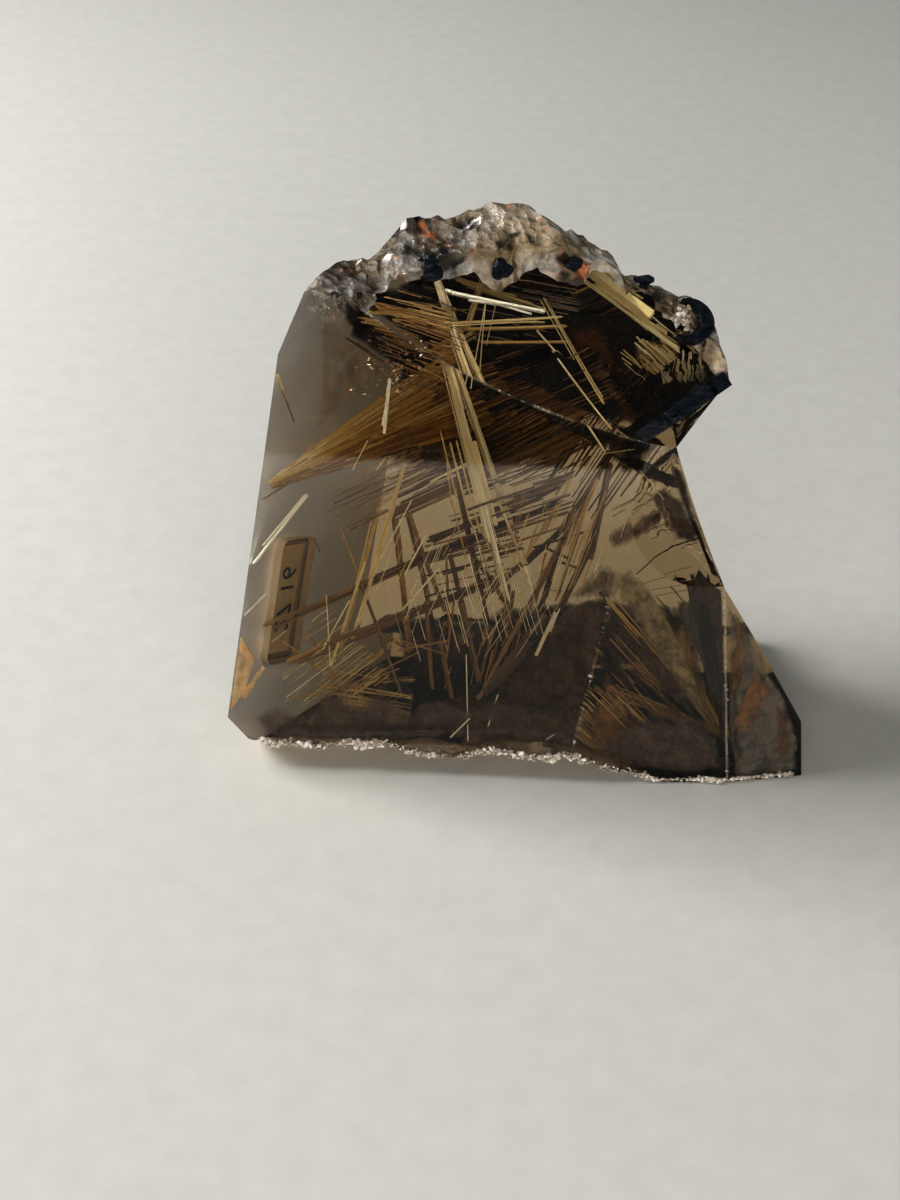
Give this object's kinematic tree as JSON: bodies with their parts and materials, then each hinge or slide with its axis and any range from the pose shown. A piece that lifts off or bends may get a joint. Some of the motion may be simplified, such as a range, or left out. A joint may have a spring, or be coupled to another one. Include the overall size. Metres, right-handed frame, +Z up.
{
  "type": "smoky quartz with rutile needles",
  "caption": "Broken piece of clear smoky quartz prism that stands on its broken base, with golden and dark rutile needles inside, black hematite plates and a small paper label.",
  "frame": {"origin": "on the resting plane, inside the broken base", "axes": "+Z up, +X along the front prism face to the right, +Y from the front face to the back"},
  "size_m": [0.0791, 0.0432, 0.0704],
  "materials": {
    "smoky_quartz": "clear brown crystal, polished by nature on its prism faces, chipped edges and a rough crust",
    "rutile": "satin golden to red-brown needles",
    "hematite": "glossy blue-black plates",
    "label_paper": "aged beige paper with a thin ruled border"
  },
  "bodies": {
    "root": {"quartz_front_half": "smoky_quartz", "quartz_back_half": "smoky_quartz", "rutile_golden_sheaf": "rutile", "rutile_top_spray": "rutile", "rutile_lattice": "rutile", "rutile_slanting_needles": "rutile", "rutile_nest": "rutile", "rutile_fan": "rutile", "rutile_top_blade": "rutile", "rutile_top_needles": "rutile", "rutile_end_blades": "rutile", "hematite_blade": "hematite", "hematite_lump_left_corner": "hematite", "hematite_lump_left": "hematite", "hematite_lump_middle": "hematite", "hematite_lump_right": "hematite", "hematite_skyline_wedge": "hematite", "hematite_crescent": "hematite", "paper_label": "label_paper"}
  },
  "joints": []
}
